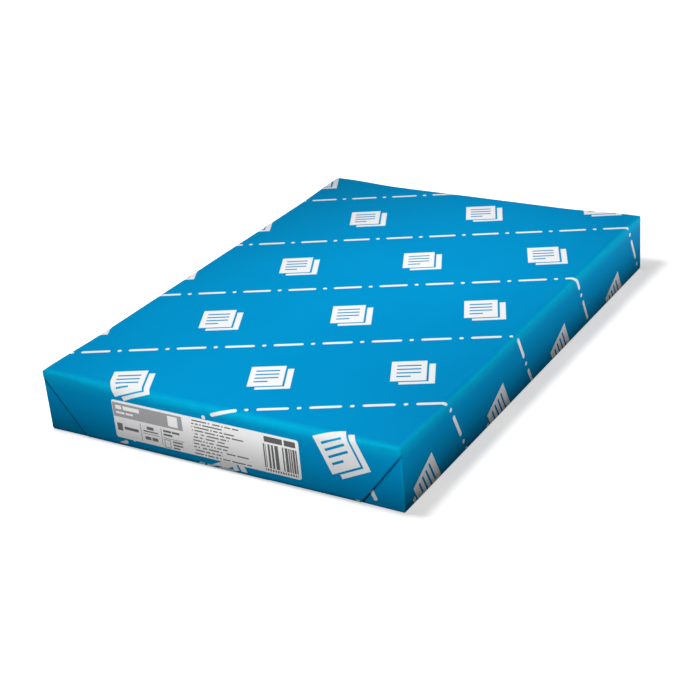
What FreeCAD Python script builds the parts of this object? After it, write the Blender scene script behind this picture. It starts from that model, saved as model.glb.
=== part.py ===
import FreeCAD, Part
import math
import os
import Sketcher

# A sealed ream of A3 paper: 500 sheets in a glued wrapper with folded ends, and a paper label on one end.
# Millimetres. +Z is up, the long sides run along Y, the labelled end faces -Y, and the origin is the
# middle of the underside.

DRIVING_SIZES = [
    ("sheet_width", 297.0, "short side of one sheet"),
    ("sheet_length", 420.0, "long side of one sheet"),
    ("sheet_count", 500.0, "sheets in the stack"),
    ("sheet_caliper", 0.097, "thickness of one sheet"),
    ("wrapper_ply", 0.13, "thickness of the wrapper paper"),
    ("end_build_up", 1.2, "plies and air of a folded end, outside the stack"),
    ("long_edge_radius", 3.0, "rounding of the long top edges"),
    ("long_under_radius", 2.2, "rounding of the long bottom edges"),
    ("end_edge_radius", 4.0, "rounding of the top edge at each end"),
    ("end_under_radius", 2.0, "rounding of the bottom edge at each end"),
    ("corner_radius", 1.0, "rounding of the four upright corners"),
    ("lap_offset", 42.0, "edge of the glued lap under the ream, from the middle line"),
    ("lap_step", 0.3, "how far the lapped ply stands out"),
    ("crease_run", 34.0, "how far a slanting crease comes in at the foot of an end"),
    ("crease_start", 5.0, "where a slanting crease starts, below the top"),
    ("tuck_dip", 0.6, "how much deeper a side tuck lies at the foot of its crease"),
    ("flap_gap", 3.0, "free edge of an end flap above the underside"),
    ("flap_step", 0.4, "how far the flap stands out over the tucks and at its free edge"),
    ("label_width", 157.0, "width of the end label"),
    ("label_top_margin", 11.0, "top of the label below the top of the ream"),
    ("label_foot_margin", 7.6, "foot of the label above the underside"),
    ("label_shift", -8.0, "middle of the label from the middle of the end"),
    ("label_thickness", 0.15, "thickness of the label"),
    ("label_corner", 2.0, "rounded corners of the label"),
    ("cut_margin", 2.0, "how far a cutting outline reaches past the ream"),
]

DERIVED_SIZES = [
    ("ream_width", "=sheet_width + 2 * wrapper_ply", "over the long sides"),
    ("ream_length", "=sheet_length + 2 * end_build_up", "over the folded ends"),
    ("ream_height", "=sheet_count * sheet_caliper + 2 * wrapper_ply + lap_step", "over the lap"),
    ("half_width", "=ream_width / 2", "middle plane to a long side"),
    ("half_length", "=ream_length / 2", "middle plane to an end"),
    ("waste_side", "=half_width + cut_margin", "outside of what is trimmed away"),
    ("waste_end", "=half_length + cut_margin", "outside of what is trimmed away"),
    ("waste_top", "=ream_height + cut_margin", "outside of what is trimmed away"),
    ("crease_top", "=ream_height - crease_start", "top of a crease above the underside"),
    ("crease_foot", "=crease_run * (1 + cut_margin / crease_top)", "a crease run on past the underside"),
    ("dip_angle", "=atan(tuck_dip / crease_run)", "lean of a side tuck, in degrees"),
    ("dip_depth", "=flap_step + tuck_dip + cut_margin", "depth of what is cut off a side tuck"),
    ("tuck_plane", "=half_length - flap_step", "middle plane to a side tuck at its upright corner"),
    ("flap_reach", "=half_width - crease_run * (1 - 2 * flap_gap / crease_top)", "half of a flap's free edge"),
    ("label_half_width", "=label_width / 2", "half of the label's width"),
    ("label_half_height", "=(ream_height - label_top_margin - label_foot_margin) / 2", "half of its height"),
    ("label_middle", "=label_foot_margin + label_half_height", "middle of the label above the underside"),
]


def make_sizes(doc):
    table = doc.addObject("Spreadsheet::Sheet", "sizes")
    driving = [(name, str(value), note) for name, value, note in DRIVING_SIZES]
    for row, (name, text, note) in enumerate(driving + DERIVED_SIZES, start=1):
        table.set(f"A{row}", name)
        table.set(f"B{row}", text)
        table.set(f"C{row}", note)
        table.setAlias(f"B{row}", name)
    doc.recompute()
    return table


doc = FreeCAD.newDocument("ream")
sizes = make_sizes(doc)


def size(name):
    """Value of a size: 0 is the axis itself, and a minus sign mirrors the size."""
    if name == "0":
        return 0.0
    value = sizes.get(name.lstrip("-"))
    value = float(getattr(value, "Value", value))
    return -value if name.startswith("-") else value


def formula(name):
    return f"-sizes.{name[1:]}" if name.startswith("-") else f"sizes.{name}"


def make_body(name):
    body = doc.addObject("PartDesign::Body", name)
    body.Label = name
    return body


def origin_plane(body, role):
    return next(plane for plane in body.Origin.OriginFeatures if plane.Role == role)


def make_sketch(body, name, role):
    sketch = body.newObject("Sketcher::SketchObject", name)
    sketch.AttachmentSupport = (origin_plane(body, role), [""])
    sketch.MapMode = "FlatFace"
    return sketch


def hold(sketch, kind, where, name):
    """Adds one dimension that follows a size of the table."""
    if name == "0":
        axis = -2 if kind == "DistanceX" else -1
        sketch.addConstraint(Sketcher.Constraint("PointOnObject", *where, axis))
        return
    start = (-1, 1) if kind.startswith("Distance") else ()
    index = sketch.addConstraint(Sketcher.Constraint(kind, *start, *where, size(name)))
    sketch.setExpression(f"Constraints[{index}]", formula(name))


def draw_outline(sketch, corners):
    """Draws a closed outline of level, upright and slanting sides, with square corners rounded or sharp.

    A corner is (x, y) or (x, y, radius), each the name of a size. Rounded corners turn to the left, and
    a slanting side has a level one on each side of it.
    """
    count = len(corners)
    points = [FreeCAD.Vector(size(corner[0]), size(corner[1]), 0) for corner in corners]
    radii = [corner[2] if len(corner) == 3 else None for corner in corners]
    entries = []
    exits = []
    for index, point in enumerate(points):
        back = (points[index - 1] - point).normalize()
        ahead = (points[(index + 1) % count] - point).normalize()
        reach = size(radii[index]) if radii[index] else 0.0
        entries.append(point + back * reach)
        exits.append(point + ahead * reach)
    sides = []
    for index in range(count):
        line = Part.LineSegment(exits[index], entries[(index + 1) % count])
        sides.append(sketch.addGeometry(line, False))
    for index, side in enumerate(sides):
        x, y = corners[index][:2]
        next_x, next_y = corners[(index + 1) % count][:2]
        if x == next_x:
            sketch.addConstraint(Sketcher.Constraint("Vertical", side))
            hold(sketch, "DistanceX", (side, 1), x)
        elif y == next_y:
            sketch.addConstraint(Sketcher.Constraint("Horizontal", side))
            hold(sketch, "DistanceY", (side, 1), y)
        else:
            hold(sketch, "DistanceX", (side, 1), x)
            hold(sketch, "DistanceX", (side, 2), next_x)
    for index, radius in enumerate(radii):
        side_in, side_out = sides[index - 1], sides[index]
        if radius is None:
            sketch.addConstraint(Sketcher.Constraint("Coincident", side_in, 2, side_out, 1))
            continue
        centre = entries[index] + exits[index] - points[index]
        spoke = entries[index] - centre
        start = math.atan2(spoke.y, spoke.x)
        circle = Part.Circle(centre, FreeCAD.Vector(0, 0, 1), size(radius))
        arc = sketch.addGeometry(Part.ArcOfCircle(circle, start, start + math.pi / 2), False)
        sketch.addConstraint(Sketcher.Constraint("Tangent", side_in, 2, arc, 1))
        sketch.addConstraint(Sketcher.Constraint("Tangent", arc, 2, side_out, 1))
        hold(sketch, "Radius", (arc,), radius)


def draw_rectangle(sketch, left, right, under, top, radius=None):
    rounding = (radius,) if radius else ()
    spots = [(left, under), (right, under), (right, top), (left, top)]
    draw_outline(sketch, [(x, y, *rounding) for x, y in spots])


def make_pad(body, name, sketch, length):
    pad = body.newObject("PartDesign::Pad", name)
    pad.Profile = sketch
    pad.setExpression("Length", formula(length))
    return pad


def make_pocket(body, name, sketch, depth=None, outward=False):
    """Cuts a profile to a depth, or right through both ways where no depth is given."""
    pocket = body.newObject("PartDesign::Pocket", name)
    pocket.Profile = sketch
    pocket.Reversed = outward
    if depth is None:
        pocket.Type = "ThroughAll"
        pocket.Midplane = True
    else:
        pocket.setExpression("Length", formula(depth))
    return pocket


# The sealed ream, one solid

def make_block(body):
    """The cross section, with the step of the glued lap underneath, run along the ream."""
    section = make_sketch(body, "cross_section", "XZ_Plane")
    draw_outline(section, [
        ("-half_width", "0", "long_under_radius"),
        ("lap_offset", "0"),
        ("lap_offset", "lap_step"),
        ("half_width", "lap_step", "long_under_radius"),
        ("half_width", "ream_height", "long_edge_radius"),
        ("-half_width", "ream_height", "long_edge_radius"),
    ])
    block = make_pad(body, "block", section, "ream_length")
    block.Midplane = True


def round_ends(body):
    """Trims the block to the side view, which rounds the top and bottom edges of both ends."""
    side_view = make_sketch(body, "side_view", "YZ_Plane")
    draw_outline(side_view, [
        ("-half_length", "0", "end_under_radius"),
        ("half_length", "0", "end_under_radius"),
        ("half_length", "ream_height", "end_edge_radius"),
        ("-half_length", "ream_height", "end_edge_radius"),
    ])
    draw_rectangle(side_view, "-waste_end", "waste_end", "-cut_margin", "waste_top")
    make_pocket(body, "rounded_ends", side_view)


def round_corners(body):
    """Trims it to the plan, which rounds the four upright corners."""
    plan = make_sketch(body, "plan", "XY_Plane")
    draw_rectangle(plan, "-half_width", "half_width", "-half_length", "half_length", "corner_radius")
    draw_rectangle(plan, "-waste_side", "waste_side", "-waste_end", "waste_end")
    make_pocket(body, "rounded_corners", plan)


def fold_tuck(body, side_name, side):
    """Sets one side tuck back under the flap; it leans in from the upright corner to the slanting crease."""
    mirror = "" if side > 0 else "-"
    back = "-" if side > 0 else ""
    sketch = make_sketch(body, f"{side_name}_tuck_outline", "XZ_Plane")
    sketch.AttachmentOffset = FreeCAD.Placement(FreeCAD.Vector(), FreeCAD.Rotation(FreeCAD.Vector(0, 1, 0), 1))
    sketch.setExpression("AttachmentOffset.Base.x", formula(mirror + "half_width"))
    sketch.setExpression("AttachmentOffset.Base.z", formula("tuck_plane"))
    sketch.setExpression("AttachmentOffset.Rotation.Angle", formula(back + "dip_angle"))
    draw_outline(sketch, [
        ("0", "crease_top"),
        (back + "crease_foot", "-cut_margin"),
        (mirror + "cut_margin", "-cut_margin"),
        (mirror + "cut_margin", "crease_top"),
    ])
    return make_pocket(body, f"{side_name}_tuck", sketch, "dip_depth", outward=True)


def cut_flap_edge(body):
    """Ends the flap a little above the underside, between the feet of the two creases."""
    sketch = make_sketch(body, "flap_edge_outline", "XZ_Plane")
    sketch.setExpression("AttachmentOffset.Base.z", formula("half_length"))
    draw_rectangle(sketch, "-flap_reach", "flap_reach", "-cut_margin", "flap_gap")
    return make_pocket(body, "flap_edge", sketch, "flap_step")


def make_wrapped_ream():
    body = make_body("wrapped_ream")
    make_block(body)
    round_ends(body)
    round_corners(body)
    folds = [fold_tuck(body, "right", 1), fold_tuck(body, "left", -1), cut_flap_edge(body)]
    back_end = body.newObject("PartDesign::Mirrored", "back_end")
    back_end.Originals = folds
    back_end.MirrorPlane = (origin_plane(body, "XZ_Plane"), [""])
    body.Tip = back_end
    return body


# The label, glued to the flap of the front end

def make_end_label():
    body = make_body("end_label")
    outline = make_sketch(body, "label_outline", "XZ_Plane")
    draw_rectangle(outline, "-label_half_width", "label_half_width",
                   "-label_half_height", "label_half_height", "label_corner")
    make_pad(body, "label", outline, "label_thickness")
    body.setExpression("Placement.Base.x", formula("label_shift"))
    body.setExpression("Placement.Base.y", formula("-half_length"))
    body.setExpression("Placement.Base.z", formula("label_middle"))
    return body


def check_document(bodies):
    for item in doc.Objects:
        if "Invalid" in item.State or "Error" in item.State:
            raise RuntimeError(f"{item.Label} failed: {item.State}")
    for body in bodies:
        if body.Shape.isNull() or not body.Shape.isValid():
            raise RuntimeError(f"{body.Label} has no valid shape")
    for item in doc.Objects:
        if item.TypeId in ("PartDesign::Pocket", "PartDesign::Mirrored"):
            before = item.BaseFeature.Shape.Volume
            if not item.Shape.Volume < before:
                raise RuntimeError(f"{item.Label} cuts nothing")


parts = [make_wrapped_ream(), make_end_label()]
doc.recompute()
check_document(parts)
os.makedirs("parts", exist_ok=True)
for part in parts:
    part.Shape.exportStep(f"parts/{part.Label}.step")
    box = part.Shape.BoundBox
    print(part.Label, "volume", round(part.Shape.Volume), "box", box)
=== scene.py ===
import math
import bpy
from mathutils import Matrix, Vector, noise


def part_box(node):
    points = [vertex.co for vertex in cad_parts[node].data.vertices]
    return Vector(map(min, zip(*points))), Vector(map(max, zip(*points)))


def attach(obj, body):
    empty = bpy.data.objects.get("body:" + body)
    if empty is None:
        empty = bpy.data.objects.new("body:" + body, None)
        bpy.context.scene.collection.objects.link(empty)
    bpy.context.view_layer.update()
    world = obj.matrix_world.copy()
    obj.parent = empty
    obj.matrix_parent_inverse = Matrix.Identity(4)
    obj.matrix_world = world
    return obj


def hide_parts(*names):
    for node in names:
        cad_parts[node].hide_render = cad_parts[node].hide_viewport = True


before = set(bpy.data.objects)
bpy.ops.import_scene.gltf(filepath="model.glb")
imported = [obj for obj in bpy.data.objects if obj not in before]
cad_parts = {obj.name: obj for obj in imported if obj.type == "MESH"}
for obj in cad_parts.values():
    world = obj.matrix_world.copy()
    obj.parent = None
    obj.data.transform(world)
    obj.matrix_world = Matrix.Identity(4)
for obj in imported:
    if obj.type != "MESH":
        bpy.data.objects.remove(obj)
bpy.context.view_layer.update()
mm = 0.001

# Sealed ream of paper: the wrapper and its end label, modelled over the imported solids.
# Metres. The labelled end faces -Y, the underside is at Z = 0.


# Small helpers

smoothAngle = math.radians(28)  # edges flatter than this are shaded smooth


def smoothStep(low, high, value):
    share = min(1.0, max(0.0, (value - low) / (high - low)))
    return share * share * (3 - 2 * share)


# Straight lines from height to height, level past both ends.
def followSteps(value, places, heights):
    for index in range(len(places) - 1):
        if value < places[index + 1]:
            share = max(0.0, (value - places[index]) / (places[index + 1] - places[index]))
            return heights[index] + share * (heights[index + 1] - heights[index])
    return heights[-1]


def deselectAll():
    bpy.ops.object.select_all(action="DESELECT")


def selectOnly(piece):
    deselectAll()
    piece.select_set(True)
    bpy.context.view_layer.objects.active = piece


# A plain block between two corners, to be shaped further.
def startBlock(name, low, high):
    deselectAll()
    bpy.ops.mesh.primitive_cube_add(size=1, location=(low + high) / 2)
    piece = bpy.context.active_object
    piece.scale = high - low
    piece.name = name
    piece.data.name = name
    bpy.ops.object.transform_apply(location=True, rotation=True, scale=True)
    return piece


# One bevel, with a radius for each edge that radiusOf gives from the edge's two ends.
def roundEdges(piece, radiusOf, widest, steps):
    weights = piece.data.attributes.new("bevel_weight_edge", "FLOAT", "EDGE")
    for edge in piece.data.edges:
        first, second = (piece.data.vertices[index].co for index in edge.vertices)
        weights.data[edge.index].value = radiusOf(first, second) / widest
    bevel = piece.modifiers.new("rounding", "BEVEL")
    bevel.limit_method = "WEIGHT"
    bevel.width = widest
    bevel.segments = steps
    selectOnly(piece)
    bpy.ops.object.modifier_apply(modifier=bevel.name)


# Cuts a straight line through the faces that pass the test.
def cutFaces(piece, test, point, normal):
    bpy.context.view_layer.objects.active = piece
    bpy.ops.object.mode_set(mode="EDIT")
    bpy.ops.mesh.select_mode(type="FACE")
    bpy.ops.mesh.select_all(action="DESELECT")
    bpy.ops.object.mode_set(mode="OBJECT")
    for face in piece.data.polygons:
        face.select = test(face)
    bpy.ops.object.mode_set(mode="EDIT")
    bpy.ops.mesh.bisect(plane_co=point, plane_no=normal)
    bpy.ops.object.mode_set(mode="OBJECT")


# Cuts the whole piece into even slices along one axis, so that it can bend.
def cutGrid(piece, axis, low, high, pitch):
    count = max(1, round((high - low) / pitch))
    normal = [0.0, 0.0, 0.0]
    normal[axis] = 1.0
    bpy.context.view_layer.objects.active = piece
    bpy.ops.object.mode_set(mode="EDIT")
    for index in range(1, count):
        place = [0.0, 0.0, 0.0]
        place[axis] = low + (high - low) * index / count
        bpy.ops.mesh.select_all(action="SELECT")
        bpy.ops.mesh.bisect(plane_co=place, plane_no=normal)
    bpy.ops.object.mode_set(mode="OBJECT")


def smoothShade(piece):
    selectOnly(piece)
    bpy.ops.object.shade_smooth_by_angle(angle=smoothAngle)
    piece.select_set(False)


# The wrapper

wrapper = {
    "topRadius": 1.4 * mm,  # top edges at their corners, where the paper is folded tight
    "endFold": 7.0 * mm,  # softer fold towards the middle of the top edge at each end
    "longFold": 4.5 * mm,  # and of the long top edges
    "foldGrowth": (8 * mm, 70 * mm),  # from where to where along an edge it softens
    "foldCuts": 6,  # lines along each soft fold, on either side of its edge
    "underLongRadius": 2.2 * mm,
    "underEndRadius": 2.0 * mm,
    "cornerRadius": 1.0 * mm,  # upright corners
    "roundSteps": 6,
    "creaseRun": 34.0 * mm,  # how far a crease comes in at the foot
    "creaseStart": 5.0 * mm,  # below the top
    "grooveLines": (0.0, 0.25 * mm, 1.0 * mm, 1.5 * mm),  # flap edge, groove floor, tuck
    "grooveDepth": 1.2 * mm,
    "grooveFade": 6.0 * mm,  # shallower towards the upright corner
    "tuckStep": 0.4 * mm,  # side tuck under the flap
    "tuckDip": 0.6 * mm,  # more of it at the foot of the crease
    "flapGap": 3.0 * mm,  # free edge of the flap above the underside
    "lapOffset": 42.0 * mm,  # edge of the glued lap underneath, right of the middle
    "lapStep": 0.3 * mm,
    "stepWidth": 0.3 * mm,  # run of the steps at the lap and under the flap
    "gridPitch": 6.0 * mm,  # slices that let the paper wave
    "foldReach": 3.0 * mm,  # how far round an edge a tuck is pushed in
    "broadWave": (0.22 * mm, 95 * mm),  # height and length of the paper's waves
    "fineWave": (0.05 * mm, 24 * mm),
    "footFade": 12.0 * mm,  # no waves at the underside
    "facing": 0.5,  # a face looks up or out if its unit normal has more than this that way
    "endFacing": 0.7,  # and it takes an end's print
    "level": 0.9,  # a face with this much upward is left out of the cuts at an end
}
wrapLow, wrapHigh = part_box("wrapped_ream")
halfWidth = wrapHigh.x
halfLength = wrapHigh.y
reamHeight = wrapHigh.z
creaseTop = reamHeight - wrapper["creaseStart"]
creaseFoot = Vector((halfWidth - wrapper["creaseRun"], 0, 0))  # of the right-hand creases
creaseNormal = Vector((creaseTop, 0, -wrapper["creaseRun"])).normalized()  # towards the side tuck


# Distance from the nearer slanting crease, positive on the side tuck.
def pastCrease(point):
    return (Vector((abs(point.x), 0, point.z)) - creaseFoot).dot(creaseNormal)


# How far the paper stands off its flat place here.
def paperWave(point):
    wave = 0.0
    for height, length in (wrapper["broadWave"], wrapper["fineWave"]):
        wave += height * noise.noise(point / length)
    return wave * smoothStep(0, wrapper["footFade"], point.z)


# Depths behind the upright face and below the top, moved onto a round of this radius.
def roundFold(behind, below, widest, fromCorner):
    tight = wrapper["topRadius"]
    radius = tight + (widest - tight) * smoothStep(*wrapper["foldGrowth"], fromCorner)
    if radius <= tight or max(behind, below) >= radius:
        return behind, below
    turn = math.pi / 4 * (1 + (behind - below) / radius)
    return radius * (1 - math.cos(turn)), radius * (1 - math.sin(turn))


def softenFolds(place):
    across, along = halfWidth - abs(place.x), halfLength - abs(place.y)
    below = reamHeight - place.z
    newAlong, below = roundFold(along, below, wrapper["endFold"], across)
    newAcross, below = roundFold(across, below, wrapper["longFold"], along)
    x = math.copysign(halfWidth - newAcross, place.x)
    y = math.copysign(halfLength - newAlong, place.y)
    return Vector((x, y, reamHeight - below))


def modelWrapper():
    piece = startBlock("ream_wrapper", wrapLow, wrapHigh)
    roundEdges(piece, wrapperRadius, wrapper["underLongRadius"], wrapper["roundSteps"])
    cutFolds(piece)
    for axis in range(3):
        cutGrid(piece, axis, wrapLow[axis], wrapHigh[axis], wrapper["gridPitch"])
    unfoldPrint(piece)
    bendPaper(piece)
    smoothShade(piece)
    print("wrapper modelled:", len(piece.data.polygons), "faces")
    return piece


def wrapperRadius(first, second):
    along = second - first
    if abs(along.z) > mm:
        return wrapper["cornerRadius"]
    if first.z + second.z > reamHeight:
        return wrapper["topRadius"]
    return wrapper["underEndRadius"] if abs(along.x) > mm else wrapper["underLongRadius"]


# Lines for the soft folds, the creases and the flap's edge at each end, and for the lap underneath.
def cutFolds(piece):
    def onTop(face):
        return face.normal.z > wrapper["facing"]

    def onSide(face):
        return abs(face.normal.x) > wrapper["facing"]

    def onEnd(face):
        return abs(face.normal.y) > wrapper["facing"]

    def roundEnd(face):
        return abs(face.center.y) > halfLength - wrapper["foldReach"] and face.normal.z < wrapper["level"]

    def underneath(face):
        return face.center.z < wrapper["underLongRadius"]

    for cut in range(1, wrapper["foldCuts"] + 1):
        endCut = wrapper["endFold"] * cut / wrapper["foldCuts"]
        longCut = wrapper["longFold"] * cut / wrapper["foldCuts"]
        for side in (-1, 1):
            cutFaces(piece, onTop, (0, side * (halfLength - endCut), 0), (0, 1, 0))
            cutFaces(piece, onTop, (side * (halfWidth - longCut), 0, 0), (1, 0, 0))
        cutFaces(piece, onEnd, (0, 0, reamHeight - endCut), (0, 0, 1))
        cutFaces(piece, onSide, (0, 0, reamHeight - longCut), (0, 0, 1))
    for side in (-1, 1):
        normal = Vector((side * creaseNormal.x, 0, creaseNormal.z))
        foot = side * creaseFoot
        for past in wrapper["grooveLines"]:
            cutFaces(piece, roundEnd, foot + normal * past, normal)
    for height in (wrapper["flapGap"], wrapper["flapGap"] - wrapper["stepWidth"]):
        cutFaces(piece, roundEnd, (0, 0, height), (0, 0, 1))
    for place in (wrapper["lapOffset"], wrapper["lapOffset"] + wrapper["stepWidth"]):
        cutFaces(piece, underneath, (place, 0, 0), (1, 0, 0))


# A UV map in metres on the wrapper's flat sheet, so that the print runs on over the folds.
def unfoldPrint(piece):
    layer = piece.data.uv_layers.new(name="sheet")
    for face in piece.data.polygons:
        atEnd = abs(face.normal.y) > wrapper["endFacing"]
        onTuck = atEnd and pastCrease(face.center) > 0
        underFlap = atEnd and face.center.z < wrapper["flapGap"] - wrapper["stepWidth"]
        overEnd = atEnd or (face.normal.z > 0 and abs(face.normal.y) > abs(face.normal.x))
        low = face.center.z < reamHeight / 2
        side = 1 if face.center.x > (wrapper["lapOffset"] if low and not onTuck else 0) else -1
        end = 1 if face.center.y > 0 else -1
        for corner in face.loop_indices:
            point = piece.data.vertices[piece.data.loops[corner].vertex_index].co
            drop = reamHeight - point.z
            inset = halfWidth - side * point.x
            girth = side * (halfWidth + drop + (inset if low else -inset))
            if onTuck:
                spot = (side * (halfWidth + drop), end * (halfLength + inset))
            elif underFlap:
                spot = (girth, end * (halfLength + point.z))
            elif overEnd:
                spot = (point.x, end * (abs(point.y) + drop))
            else:
                spot = (girth, point.y)
            layer.data[corner].uv = spot


# How far the paper at an end lies behind the flap: the side tucks with their grooves, and the strip
# under the flap's free edge.
def tuckDepth(place):
    past = pastCrease(place)
    if past > 0 and place.z < creaseTop:
        fromCorner = halfWidth - abs(place.x)
        tuck = wrapper["tuckStep"] + wrapper["tuckDip"] * min(1.0, fromCorner / wrapper["creaseRun"])
        groove = max(tuck, wrapper["grooveDepth"] * smoothStep(0, wrapper["grooveFade"], fromCorner))
        return followSteps(past, wrapper["grooveLines"], (0.0, groove, groove, tuck))
    if place.z < wrapper["flapGap"]:
        return wrapper["tuckStep"] * min(1.0, (wrapper["flapGap"] - place.z) / wrapper["stepWidth"])
    return 0.0


# Softens the folds, adds waves, and sets back what the flap and the lap cover.
def bendPaper(piece):
    normals = [point.normal.copy() for point in piece.data.vertices]
    for point, normal in zip(piece.data.vertices, normals):
        place = point.co.copy()
        moved = softenFolds(place) + normal * paperWave(place)
        depth = halfLength - abs(place.y)
        if depth < wrapper["foldReach"]:
            inward = -1 if place.y > 0 else 1
            moved.y += inward * tuckDepth(place) * (1 - depth / wrapper["foldReach"])
        if place.z < wrapper["underLongRadius"] and place.x > wrapper["lapOffset"]:
            rise = min(1.0, (place.x - wrapper["lapOffset"]) / wrapper["stepWidth"])
            moved.z += wrapper["lapStep"] * rise * (1 - place.z / wrapper["underLongRadius"])
        point.co = moved
    piece.data.update()


# The end label

label = {
    "cornerRadius": 2.0 * mm,
    "cornerSteps": 6,
    "gridPitch": 5.0 * mm,
    "bite": 0.05 * mm,  # the back sinks into the glue by this
    "hair": 0.01 * mm,  # closer than this counts as level
}
labelLow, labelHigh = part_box("end_label")


# Only the short edges through the paper are rounded.
def labelRadius(first, second):
    return label["cornerRadius"] if abs(second.y - first.y) > label["hair"] else 0.0


def modelLabel():
    piece = startBlock("printed_label", labelLow, labelHigh)
    roundEdges(piece, labelRadius, label["cornerRadius"], label["cornerSteps"])
    for axis in (0, 2):
        cutGrid(piece, axis, labelLow[axis], labelHigh[axis], label["gridPitch"])
    layer = piece.data.uv_layers.new(name="print")
    for loop in piece.data.loops:
        point = piece.data.vertices[loop.vertex_index].co
        layer.data[loop.index].uv = (point.x - labelLow.x, labelHigh.z - point.z)
    for point in piece.data.vertices:
        atBack = point.co.y > labelHigh.y - label["hair"]
        point.co.y -= paperWave(Vector((point.co.x, -halfLength, point.co.z)))
        if atBack:
            point.co.y += label["bite"]
    piece.data.update()
    smoothShade(piece)
    print("label modelled:", len(piece.data.polygons), "faces")
    return piece


# Node helpers: each value may be a number or another node's output

printBlur = 0.05  # a printed edge fades over this to either side, in millimetres
grainRange = (0.3, 0.7)  # where most of a grain's values lie
plainWhite = (1, 1, 1, 1)
plainBlack = (0, 0, 0, 1)


def plug(tree, socket, value):
    if isinstance(value, bpy.types.NodeSocket):
        tree.links.new(value, socket)
    else:
        socket.default_value = value


def calc(tree, operation, *values):
    node = tree.nodes.new("ShaderNodeMath")
    node.operation = operation
    for socket, value in zip(node.inputs, values):
        plug(tree, socket, value)
    return node.outputs[0]


# One operation through any number of values.
def chain(tree, operation, first, *others):
    result = first
    for value in others:
        result = calc(tree, operation, result, value)
    return result


def fade(tree, value, low, high, start=0.0, end=1.0):
    node = tree.nodes.new("ShaderNodeMapRange")
    settings = {"Value": value, "From Min": low, "From Max": high, "To Min": start, "To Max": end}
    for name, number in settings.items():
        plug(tree, node.inputs[name], number)
    return node.outputs[0]


# From 1 at zero down to 0 at the reach, fastest at first.
def softFade(tree, value, reach, power=1.5):
    return calc(tree, "POWER", fade(tree, value, 0, reach, 1, 0), power)


def distance(tree, x, y):
    return calc(tree, "SQRT", calc(tree, "ADD", calc(tree, "POWER", x, 2), calc(tree, "POWER", y, 2)))


def mixColour(tree, share, first, second):
    node = tree.nodes.new("ShaderNodeMix")
    node.data_type = "RGBA"
    plug(tree, node.inputs["Factor"], share)
    plug(tree, node.inputs["A"], first)
    plug(tree, node.inputs["B"], second)
    return node.outputs["Result"]


def grain(tree, scale, detail=2.0, roughness=0.5, stretch=(1, 1, 1)):
    coords = tree.nodes.new("ShaderNodeTexCoord")
    mapping = tree.nodes.new("ShaderNodeMapping")
    mapping.inputs["Scale"].default_value = stretch
    texture = tree.nodes.new("ShaderNodeTexNoise")
    texture.inputs["Scale"].default_value = scale
    texture.inputs["Detail"].default_value = detail
    texture.inputs["Roughness"].default_value = roughness
    tree.links.new(coords.outputs["Object"], mapping.inputs["Vector"])
    tree.links.new(mapping.outputs["Vector"], texture.inputs["Vector"])
    return texture.outputs["Fac"]


# A grain whose values run from the first of the two ends to the second.
def spreadGrain(tree, ends, pattern):
    return fade(tree, grain(tree, *pattern), *grainRange, *ends)


def bump(tree, pattern, strength, height, under=None):
    node = tree.nodes.new("ShaderNodeBump")
    node.inputs["Strength"].default_value = strength
    node.inputs["Distance"].default_value = height
    plug(tree, node.inputs["Height"], pattern)
    if under is not None:
        tree.links.new(under, node.inputs["Normal"])
    return node.outputs["Normal"]


def startMaterial(name):
    material = bpy.data.materials.new(name)
    material.use_nodes = True
    tree = material.node_tree
    shader = next(node for node in tree.nodes if node.type == "BSDF_PRINCIPLED")
    return material, tree, shader


# The three object coordinates, in metres.
def objectPlace(tree):
    coords = tree.nodes.new("ShaderNodeTexCoord")
    split = tree.nodes.new("ShaderNodeSeparateXYZ")
    tree.links.new(coords.outputs["Object"], split.inputs["Vector"])
    return [split.outputs[axis] for axis in ("X", "Y", "Z")]


# The two coordinates of a UV map, in millimetres.
def flatPlace(tree, layer):
    coords = tree.nodes.new("ShaderNodeUVMap")
    coords.uv_map = layer
    split = tree.nodes.new("ShaderNodeSeparateXYZ")
    tree.links.new(coords.outputs["UV"], split.inputs["Vector"])
    return [calc(tree, "MULTIPLY", split.outputs[axis], 1 / mm) for axis in ("X", "Y")]


# 1 inside a rectangle and 0 outside it.
def insideBox(tree, x, y, left, top, width, height):
    sides = []
    for value, start, size in ((x, left, width), (y, top, height)):
        off = calc(tree, "ABSOLUTE", calc(tree, "SUBTRACT", value, start + size / 2))
        sides.append(fade(tree, off, size / 2 - printBlur, size / 2 + printBlur, 1, 0))
    return calc(tree, "MULTIPLY", *sides)


# 1 inside a disc round zero and 0 outside it.
def insideDisc(tree, x, y, width):
    return fade(tree, distance(tree, x, y), width / 2 - printBlur, width / 2 + printBlur, 1, 0)


# A value's place in its repeat, from the repeat's middle.
def inRepeat(tree, repeats, pitch):
    return calc(tree, "MULTIPLY", calc(tree, "SUBTRACT", calc(tree, "FRACT", repeats), 0.5), pitch)


def randomStep(tree, first, second):
    node = tree.nodes.new("ShaderNodeTexWhiteNoise")
    node.noise_dimensions = "2D"
    join = tree.nodes.new("ShaderNodeCombineXYZ")
    plug(tree, join.inputs["X"], first)
    plug(tree, join.inputs["Y"], second)
    tree.links.new(join.outputs["Vector"], node.inputs["Vector"])
    return node.outputs["Value"]


# The wrapper's finish: blue ink with a generic white print under a satin film, with a painted highlight along
# the folds and painted shade in the creases

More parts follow.
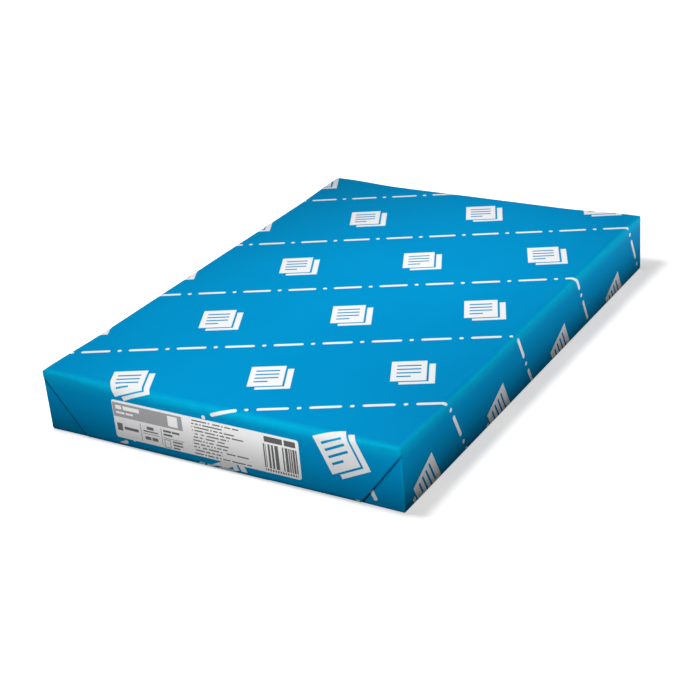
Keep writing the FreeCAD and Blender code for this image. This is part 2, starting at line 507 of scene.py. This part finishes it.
printing = {
    "ink": (0.0005, 0.308, 0.640, 1),
    "inkDeep": (0.0005, 0.290, 0.615, 1),
    "mottle": (9, 3),  # the grain between the two: its scale and detail
    "foldHighlightColour": (0.001, 0.470, 0.740, 1),  # painted highlight along the folds, paler than the ink
    "highlightUneven": (160, 2),  # the grain that thins the painted highlight out unevenly
    "highlightUnevenRange": (0.75, 1),
    "topGlow": 6.0,  # its reach from the end folds: millimetres on the top
    "topLean": 0.45,  # it reaches further down the upright face
    "sideGlow": 4.0,  # from the long ones
    "sideLean": 0.32,
    "cornerGlow": 1.6,  # from the upright corners and the foot
    "foldBlend": 1.0,  # over which topGlow changes to cornerGlow, past the top's long edges
    # Painted shade in the narrow gaps at the creases, over the grooves' own shade.
    "creaseShadeColour": (0.001, 0.045, 0.095, 1),
    "creviceShares": (0.95, 0.4),  # in the left creases, where the flap hides the gap, and the right
    "creviceMiddle": 1 * mm,  # left changes to right over this to either side
    "creviceStart": (-0.8 * mm, -0.4 * mm),  # past the crease, where the dark line begins
    "creviceEnd": 0.5 * mm,  # and how it ends past the groove's floor
    "creviceTop": 1 * mm,  # it fades over this to either side of the crease's top
    "creviceDepth": (2.0 * mm, 1.9 * mm),  # it begins this far behind an end
    "white": (0.94, 0.95, 0.96, 1),
    "roughness": (0.40, 0.50),
    "sheen": (60, 3),  # the grain between the two
    "gloss": 0.003,
    "fibres": (1500, 3, 0.6, (1, 0.4, 1)),  # grain with its roughness and stretch
    "fibreBump": (0.12, 0.05 * mm),  # strength and height
    "dents": (45, 3, 0.55),
    "dentBump": (0.25, 0.25 * mm),
    "turn": math.radians(26),  # the rows against the short side
    "shift": (42.0, 123.0),  # along and across the rows, in millimetres as all below
    "rowPitch": 49.0,
    "iconPitch": 100.0,
    "sheetSize": (25.0, 30.0),
    "secondSheet": (6.0, -5.0),
    "sheetGap": 1.6,
    "ruleCount": 4,
    "ruleLength": 17.0,
    "lastRule": 10.0,
    "ruleThickness": 1.9,
    "rulePitch": 5.4,
    "dashPitch": 36.0,
    "dashLength": 19.0,  # between the round ends
    "dashThickness": 3.2,
    "dotSize": 3.2,  # between two dashes
}


# Two sheets of paper, one over the other, with ruled lines on the front one.
def sheetIcon(tree, x, y):
    width, height = printing["sheetSize"]
    shiftX, shiftY = printing["secondSheet"]
    gap = printing["sheetGap"]
    count = printing["ruleCount"]
    thickness = printing["ruleThickness"]
    front = insideBox(tree, x, y, -width / 2, -height / 2, width, height)
    halo = insideBox(tree, x, y, -width / 2 - gap, -height / 2 - gap, width + 2 * gap, height + 2 * gap)
    back = insideBox(tree, x, y, shiftX - width / 2, -shiftY - height / 2, width, height)
    rules = []
    for index in range(count):
        top = (index - (count - 1) / 2) * printing["rulePitch"] - thickness / 2
        length = printing["ruleLength"] if index < count - 1 else printing["lastRule"]
        rules.append(insideBox(tree, x, y, -printing["ruleLength"] / 2, top, length, thickness))
    front = calc(tree, "SUBTRACT", front, chain(tree, "MAXIMUM", *rules))
    back = calc(tree, "MULTIPLY", back, calc(tree, "SUBTRACT", 1, halo))
    return calc(tree, "MAXIMUM", front, back)


# Icons along a row. Each row of them is half a pitch off the one before.
def iconRow(tree, row, along, inRow):
    pairs = calc(tree, "FLOOR", calc(tree, "DIVIDE", row, 2))
    stagger = calc(tree, "FRACT", calc(tree, "MULTIPLY", pairs, 0.5))
    icons = calc(tree, "ADD", calc(tree, "DIVIDE", along, printing["iconPitch"]), stagger)
    upright = calc(tree, "MULTIPLY", inRow, -1)
    return sheetIcon(tree, inRepeat(tree, icons, printing["iconPitch"]), upright)


# Dashes with round ends along a row, and a dot between two.
def dashRow(tree, along, inRow):
    pitch = printing["dashPitch"]
    off = calc(tree, "ABSOLUTE", inRepeat(tree, calc(tree, "DIVIDE", along, pitch), pitch))
    pastEnd = calc(tree, "MAXIMUM", calc(tree, "SUBTRACT", off, printing["dashLength"] / 2), 0)
    toDot = calc(tree, "SUBTRACT", pitch / 2, off)
    dash = insideDisc(tree, pastEnd, inRow, printing["dashThickness"])
    return calc(tree, "MAXIMUM", dash, insideDisc(tree, toDot, inRow, printing["dotSize"]))


# Slanting rows: sheet icons in one, dashes in the next.
def whitePrint(tree):
    u, v = flatPlace(tree, "sheet")
    cosine, sine = math.cos(printing["turn"]), math.sin(printing["turn"])
    along = calc(tree, "ADD", calc(tree, "MULTIPLY", u, cosine), calc(tree, "MULTIPLY", v, sine))
    across = calc(tree, "SUBTRACT", calc(tree, "MULTIPLY", v, cosine), calc(tree, "MULTIPLY", u, sine))
    along = calc(tree, "SUBTRACT", along, printing["shift"][0])
    across = calc(tree, "SUBTRACT", across, printing["shift"][1])
    rows = calc(tree, "DIVIDE", across, printing["rowPitch"])
    row = calc(tree, "FLOOR", rows)
    inRow = inRepeat(tree, rows, printing["rowPitch"])
    odd = calc(tree, "FLOORED_MODULO", row, 2)
    even = calc(tree, "SUBTRACT", 1, odd)
    icons = calc(tree, "MULTIPLY", iconRow(tree, row, along, inRow), even)
    dashes = calc(tree, "MULTIPLY", dashRow(tree, along, inRow), odd)
    return calc(tree, "MAXIMUM", icons, dashes)


# 1 on a line, fading softly to 0 at its reach, which is longer past the line by 1 / lean.
def nearLine(tree, value, line, reach, lean=1.0):
    past = calc(tree, "SUBTRACT", value, line)
    off = calc(tree, "MAXIMUM", calc(tree, "MULTIPLY", past, lean), calc(tree, "MULTIPLY", past, -1))
    return softFade(tree, off, reach)


# Painted highlight on the folds of the flat sheet: along the block's long edges and round its ends.
def foldHighlightMask(tree):
    u, v = (calc(tree, "ABSOLUTE", value) for value in flatPlace(tree, "sheet"))
    topEdge = halfWidth / mm
    footEdge = (halfWidth + reamHeight) / mm
    onSide = fade(tree, u, topEdge, topEdge + printing["foldBlend"])
    endReach = fade(tree, onSide, 0, 1, printing["topGlow"], printing["cornerGlow"])
    endLean = fade(tree, onSide, 0, 1, printing["topLean"], 1)
    top = nearLine(tree, u, topEdge, printing["sideGlow"], printing["sideLean"])
    foot = nearLine(tree, u, footEdge, printing["cornerGlow"])
    return chain(tree, "MAXIMUM", top, foot, nearLine(tree, v, halfLength / mm, endReach, endLean))


# Painted shade in the narrow gap between the flap and a side tuck, at both ends: how dark it is.
def creaseShadeMask(tree):
    x, y, z = objectPlace(tree)
    outward = calc(tree, "SUBTRACT", calc(tree, "ABSOLUTE", x), creaseFoot.x)
    upward = calc(tree, "MULTIPLY", z, creaseNormal.z)
    past = calc(tree, "ADD", calc(tree, "MULTIPLY", outward, creaseNormal.x), upward)
    grooveEnd = wrapper["grooveLines"][2]
    middle = printing["creviceMiddle"]
    top = printing["creviceTop"]
    far, near = printing["creviceDepth"]
    return chain(
        tree, "MULTIPLY",
        fade(tree, past, *printing["creviceStart"]),
        fade(tree, past, grooveEnd, grooveEnd + printing["creviceEnd"], 1, 0),
        fade(tree, calc(tree, "ABSOLUTE", y), halfLength - far, halfLength - near),
        fade(tree, z, creaseTop - top, creaseTop + top, 1, 0),
        fade(tree, x, -middle, middle, *printing["creviceShares"]))


def wrapperFinish():
    material, tree, shader = startMaterial("printed_wrapper")
    mottle = spreadGrain(tree, (0, 1), printing["mottle"])
    colour = mixColour(tree, mottle, printing["ink"], printing["inkDeep"])
    # Painted highlight along the folds, made uneven by a grain.
    highlightUneven = spreadGrain(tree, printing["highlightUnevenRange"], printing["highlightUneven"])
    folds = calc(tree, "MULTIPLY", foldHighlightMask(tree), highlightUneven)
    colour = mixColour(tree, folds, colour, printing["foldHighlightColour"])
    colour = mixColour(tree, whitePrint(tree), colour, printing["white"])
    # Painted shade in the narrow gaps at the creases.
    colour = mixColour(tree, creaseShadeMask(tree), colour, printing["creaseShadeColour"])
    tree.links.new(colour, shader.inputs["Base Color"])
    tree.links.new(spreadGrain(tree, printing["roughness"], printing["sheen"]), shader.inputs["Roughness"])
    shader.inputs["Specular IOR Level"].default_value = printing["gloss"]
    fibres = bump(tree, grain(tree, *printing["fibres"]), *printing["fibreBump"])
    dents = bump(tree, grain(tree, *printing["dents"]), *printing["dentBump"], fibres)
    tree.links.new(dents, shader.inputs["Normal"])
    return material


# The label's finish: grey and black print on white paper, as plain bars and boxes, with painted shade towards
# the foot

labelPrint = {
    "paper": (0.98, 0.98, 0.975, 1),
    "paperShadedFoot": (0.76, 0.76, 0.76, 1),  # painted shade: the paper turns a pale grey from the top to the foot
    "grey": (0.34, 0.34, 0.35, 1),
    "black": (0.025, 0.025, 0.028, 1),
    "cover": 0.96,  # how fully the black covers
    "roughness": (0.42, 0.52),
    "sheen": (80, 3),  # the grain between the two: its scale and detail
    "fibres": (1700, 3, 0.6),
    "fibreBump": (0.15, 0.04 * mm),  # strength and height
    "tint": (4.0, 26.0),  # from where to where below the top the painted shade grows, in millimetres as all below
    "band": (0.4, 1.9, 60.8, 11.4),  # left, top, width, height
    "bandWhite": [
        (3.0, 3.8, 5.2, 3.2), (9.6, 3.8, 14.5, 3.2), (3.0, 9.0, 7.5, 1.5), (11.6, 9.0, 6.5, 1.5),
        (48.8, 3.4, 8.4, 8.4),
    ],
    "thinLines": [
        (23.3, 15.0, 0.4, 14.0), (41.5, 15.0, 0.4, 14.0), (25.0, 22.0, 14.5, 0.4), (42.8, 22.0, 18.4, 0.4),
    ],
    "blackBoxes": [
        (2.2, 18.4, 4.8, 6.0), (8.6, 20.6, 12.6, 2.3),
        (29.0, 16.2, 6.0, 2.4), (25.6, 19.6, 13.0, 1.1), (26.6, 24.4, 5.2, 2.6), (32.6, 24.4, 5.2, 2.6),
        (43.6, 15.7, 6.8, 1.6), (51.2, 15.7, 6.4, 1.6), (43.6, 18.6, 7.6, 1.6),
        (51.0, 23.4, 8.4, 1.2), (51.0, 25.9, 8.4, 1.2), (51.0, 28.3, 5.6, 1.2),
        (129.4, 2.0, 14.6, 4.4), (145.4, 2.0, 9.0, 4.4),
    ],
    "frame": (43.6, 23.2, 5.2, 6.6),
    "frameLine": 0.45,
    "lines": {"left": 69.4, "top": 1.9, "pitch": 2.62, "count": 11, "height": 1.0, "longest": 51.0,
              "shortest": 22.95, "dash": 1.25, "rowShift": 3.7, "gaps": 0.2, "seed": 7.0},
    "bars": {"box": (128.0, 8.0, 27.0, 18.6), "pitch": 0.55, "dark": 0.52, "seed": 3.0},
    "ticks": {"box": (128.4, 27.4, 26.4, 1.7), "pitch": 2.03, "dark": 0.62},
}


# A block of uneven lines, broken into short dashes with gaps here and there.
def smallLines(tree, x, y):
    block = labelPrint["lines"]
    rows = calc(tree, "DIVIDE", calc(tree, "SUBTRACT", y, block["top"]), block["pitch"])
    row = calc(tree, "FLOOR", rows)
    inRow = calc(tree, "MULTIPLY", calc(tree, "FRACT", rows), block["pitch"])
    shifted = calc(tree, "ADD", x, calc(tree, "MULTIPLY", row, block["rowShift"]))
    dash = calc(tree, "FLOOR", calc(tree, "DIVIDE", shifted, block["dash"]))
    length = fade(tree, randomStep(tree, row, block["seed"]), 0, 1, block["shortest"], block["longest"])
    depth = block["pitch"] * block["count"]
    return chain(
        tree, "MULTIPLY",
        calc(tree, "LESS_THAN", inRow, block["height"]),
        calc(tree, "GREATER_THAN", randomStep(tree, dash, row), block["gaps"]),
        calc(tree, "GREATER_THAN", x, block["left"]),
        calc(tree, "LESS_THAN", x, calc(tree, "ADD", length, block["left"])),
        insideBox(tree, x, y, block["left"], block["top"], block["longest"], depth))


# Upright bars of uneven width over a row of even ticks. They stand for no number.
def barBlock(tree, x, y):
    bars = labelPrint["bars"]
    ticks = labelPrint["ticks"]
    cell = calc(tree, "FLOOR", calc(tree, "DIVIDE", calc(tree, "SUBTRACT", x, bars["box"][0]), bars["pitch"]))
    dark = calc(tree, "LESS_THAN", randomStep(tree, cell, bars["seed"]), bars["dark"])
    inTick = calc(tree, "FRACT", calc(tree, "DIVIDE", x, ticks["pitch"]))
    tick = calc(tree, "LESS_THAN", inTick, ticks["dark"])
    dark = calc(tree, "MULTIPLY", dark, insideBox(tree, x, y, *bars["box"]))
    tick = calc(tree, "MULTIPLY", tick, insideBox(tree, x, y, *ticks["box"]))
    return calc(tree, "MAXIMUM", dark, tick)


# An empty frame, as for a page.
def pageFrame(tree, x, y):
    left, top, width, height = labelPrint["frame"]
    line = labelPrint["frameLine"]
    outer = insideBox(tree, x, y, left, top, width, height)
    inner = insideBox(tree, x, y, left + line, top + line, width - 2 * line, height - 2 * line)
    return calc(tree, "SUBTRACT", outer, inner)


def labelFinish():
    material, tree, shader = startMaterial("printed_label_paper")
    x, y = flatPlace(tree, "print")
    whites = [insideBox(tree, x, y, *box) for box in labelPrint["bandWhite"]]
    blacks = [insideBox(tree, x, y, *box) for box in labelPrint["thinLines"] + labelPrint["blackBoxes"]]
    blacks += [smallLines(tree, x, y), barBlock(tree, x, y), pageFrame(tree, x, y)]
    black = calc(tree, "MULTIPLY", chain(tree, "MAXIMUM", *blacks), labelPrint["cover"])
    # Painted shade: the paper darkens towards the foot.
    colour = mixColour(tree, fade(tree, y, *labelPrint["tint"]), labelPrint["paper"], labelPrint["paperShadedFoot"])
    colour = mixColour(tree, insideBox(tree, x, y, *labelPrint["band"]), colour, labelPrint["grey"])
    colour = mixColour(tree, chain(tree, "MAXIMUM", *whites), colour, labelPrint["paper"])
    colour = mixColour(tree, black, colour, labelPrint["black"])
    tree.links.new(colour, shader.inputs["Base Color"])
    roughness = spreadGrain(tree, labelPrint["roughness"], labelPrint["sheen"])
    tree.links.new(roughness, shader.inputs["Roughness"])
    fibres = bump(tree, grain(tree, *labelPrint["fibres"]), *labelPrint["fibreBump"])
    tree.links.new(fibres, shader.inputs["Normal"])
    return material


def dress(piece, material):
    piece.data.materials.clear()
    piece.data.materials.append(material)


# Floor, lights and camera

studio = {
    "floorSize": 6.0,
    "floorColour": (0.92, 0.92, 0.92, 1),
    "floorRoughness": 0.9,
    "floorGlow": 0.630,  # what the camera sees on top of the floor's own light
    "whiteRange": (0.03, 0.14),  # further out the floor fades to plain white
    "shadowTint": (1.0, 0.97, 0.935, 1),  # takes the blue that the ream throws out of its shadow
    "tintStart": 4 * mm,  # past the ream's side
    "footShade": 0.19,  # soft shade on the floor along the foot of both ends
    "footStart": 1 * mm,  # behind the end
    "footReach": 14 * mm,
    "footCorner": 8 * mm,  # how soon it ends past a corner
    "bounce": 0.85,  # light that the floor gives back, none of it close to the ream
    "bounceRange": (40 * mm, 80 * mm),  # from where to where it grows
    "bounceGlow": 1.5,
    "bounceSlope": (-0.36, 0.28, 0.48, 1.72),  # more of it to the back
    "bounceTurn": 0.4,  # and to the right
    "worldLight": (0.04, 0.04, 0.04, 1),
}
lamps = [
    {"name": "floorLamp", "lights": "floor", "place": (-0.137, -0.20, 0.85), "aim": (0, 0, 0),
     "size": 0.26, "power": 6.0},
    {"name": "topLeftLamp", "lights": "ream", "place": (-0.14, -0.145, 0.35), "aim": (-0.05, -0.04, 0),
     "size": 0.12, "power": 0.31},
    {"name": "topRightLamp", "lights": "ream", "place": (0.05, 0.115, 0.38), "aim": (0.03, 0.07, 0),
     "size": 0.12, "power": 0.76},
    {"name": "frontLamp", "lights": "ream", "place": (0.13, -0.28, 0.56), "aim": (0.05, -0.1, 0),
     "size": 0.18, "power": 0.62},
    {"name": "lowLamp", "lights": "ream", "place": (0.05, -0.40, 0.26), "aim": (0.03, -0.20, 0.02),
     "size": 0.16, "power": 0.46},
    {"name": "sideLamp", "lights": "ream", "place": (0.80, 0.35, 0.50), "aim": (0.1, 0.1, 0),
     "size": 0.30, "power": 0.4},
    {"name": "labelLamp", "lights": "label", "place": (0.0, -0.60, 0.50), "aim": (0, -0.2, 0.02),
     "size": 0.12, "power": 0.60},
]
view = {
    "azimuth": 32.5,
    "elevation": 26.1,
    "roll": -5.0,
    "distance": 1.2328,
    "aside": 0.01405,  # the ream's middle from the middle of the picture
    "above": 0.00528,
    "focalPixels": 1546.9,
    "pictureWidth": 700,
    "sensorWidth": 36.0,
}


# 1 for what the camera sees directly, by reflection or through glass, and 0 for light that bounces.
def cameraOnly(tree):
    path = tree.nodes.new("ShaderNodeLightPath")
    kinds = [path.outputs[kind] for kind in ("Is Camera Ray", "Is Glossy Ray", "Is Transmission Ray")]
    return chain(tree, "MAXIMUM", *kinds)


# Sets apart what the camera sees of the floor and the light that the floor gives back to the ream.
def floorFinish():
    material, tree, shader = startMaterial("pale_floor")
    x, y = objectPlace(tree)[:2]
    seen = cameraOnly(tree)
    pastSide = calc(tree, "SUBTRACT", calc(tree, "ABSOLUTE", x), halfWidth)
    pastEnd = calc(tree, "SUBTRACT", calc(tree, "ABSOLUTE", y), halfLength)
    beside = calc(tree, "MAXIMUM", pastSide, 0)
    away = distance(tree, beside, calc(tree, "MAXIMUM", pastEnd, 0))
    bounce = fade(tree, away, *studio["bounceRange"], 0, studio["bounce"])
    shade = chain(
        tree, "MULTIPLY",
        softFade(tree, pastEnd, studio["footReach"]),
        fade(tree, pastEnd, -studio["footStart"], 0),
        fade(tree, beside, 0, studio["footCorner"], 1, 0))
    lit = calc(tree, "MULTIPLY_ADD", shade, -studio["footShade"], 1)
    colour = mixColour(tree, lit, plainBlack, studio["floorColour"])
    tree.links.new(mixColour(tree, seen, bounce, colour), shader.inputs["Base Color"])
    shader.inputs["Roughness"].default_value = studio["floorRoughness"]
    shader.inputs["Specular IOR Level"].default_value = 0.0
    nearby = fade(tree, away, *studio["whiteRange"], 1, 0)
    tinted = chain(tree, "MULTIPLY", nearby, fade(tree, beside, 0, studio["tintStart"]), seen)
    tree.links.new(mixColour(tree, tinted, plainWhite, studio["shadowTint"]), shader.inputs["Emission Color"])
    slope = fade(tree, calc(tree, "MULTIPLY_ADD", x, studio["bounceTurn"], y), *studio["bounceSlope"])
    unseen = calc(tree, "SUBTRACT", 1, seen)
    glow = chain(tree, "MULTIPLY", unseen, bounce, slope, studio["bounceGlow"])
    white = calc(tree, "MULTIPLY", lit, fade(tree, away, *studio["whiteRange"], studio["floorGlow"], 1))
    tree.links.new(calc(tree, "MULTIPLY_ADD", seen, white, glow), shader.inputs["Emission Strength"])
    return material


def layFloor():
    deselectAll()
    bpy.ops.mesh.primitive_plane_add(size=studio["floorSize"], location=(0, 0, 0))
    floor = bpy.context.active_object
    floor.name = "floor"
    dress(floor, floorFinish())
    return floor


def lightWorld():
    world = bpy.data.worlds.new("studio")
    bpy.context.scene.world = world
    world.use_nodes = True
    tree = world.node_tree
    background = next(node for node in tree.nodes if node.type == "BACKGROUND")
    colour = mixColour(tree, cameraOnly(tree), studio["worldLight"], plainWhite)
    tree.links.new(colour, background.inputs["Color"])


def hangLamp(lamp, lit):
    deselectAll()
    bpy.ops.object.light_add(type="AREA", location=lamp["place"])
    light = bpy.context.active_object
    light.name = lamp["name"]
    light.data.shape = "DISK"
    light.data.size = lamp["size"]
    light.data.energy = lamp["power"]
    towards = Vector(lamp["aim"]) - Vector(lamp["place"])
    light.rotation_euler = towards.to_track_quat("-Z", "Y").to_euler()
    reach = bpy.data.collections.new(lamp["name"] + "Reach")
    for piece in lit:
        reach.objects.link(piece)
    light.light_linking.receiver_collection = reach


def setCamera():
    azimuth, elevation, roll = (math.radians(view[name]) for name in ("azimuth", "elevation", "roll"))
    outward = Vector((math.sin(azimuth), -math.cos(azimuth), 0))
    back = outward * math.cos(elevation) + Vector((0, 0, math.sin(elevation)))
    right = Vector((math.cos(azimuth), math.sin(azimuth), 0))
    up = back.cross(right)
    turned = right * math.cos(roll) + up * math.sin(roll)
    upright = up * math.cos(roll) - right * math.sin(roll)
    place = back * view["distance"] - turned * view["aside"] - upright * view["above"]
    deselectAll()
    bpy.ops.object.camera_add(location=place)
    camera = bpy.context.active_object
    camera.rotation_euler = Matrix((turned, upright, back)).transposed().to_euler()
    camera.data.sensor_width = view["sensorWidth"]
    camera.data.lens = view["focalPixels"] * view["sensorWidth"] / view["pictureWidth"]
    bpy.context.scene.camera = camera


wrapperPiece = modelWrapper()
dress(wrapperPiece, wrapperFinish())
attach(wrapperPiece, "root")
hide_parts("wrapped_ream")
labelPiece = modelLabel()
dress(labelPiece, labelFinish())
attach(labelPiece, "root")
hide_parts("end_label")
print("pieces dressed")

floorPiece = layFloor()
lightWorld()
lightable = {"floor": [floorPiece], "ream": [wrapperPiece, labelPiece], "label": [labelPiece]}
for lamp in lamps:
    hangLamp(lamp, lightable[lamp["lights"]])
setCamera()
bpy.context.scene.view_settings.view_transform = "Standard"
print("studio ready")
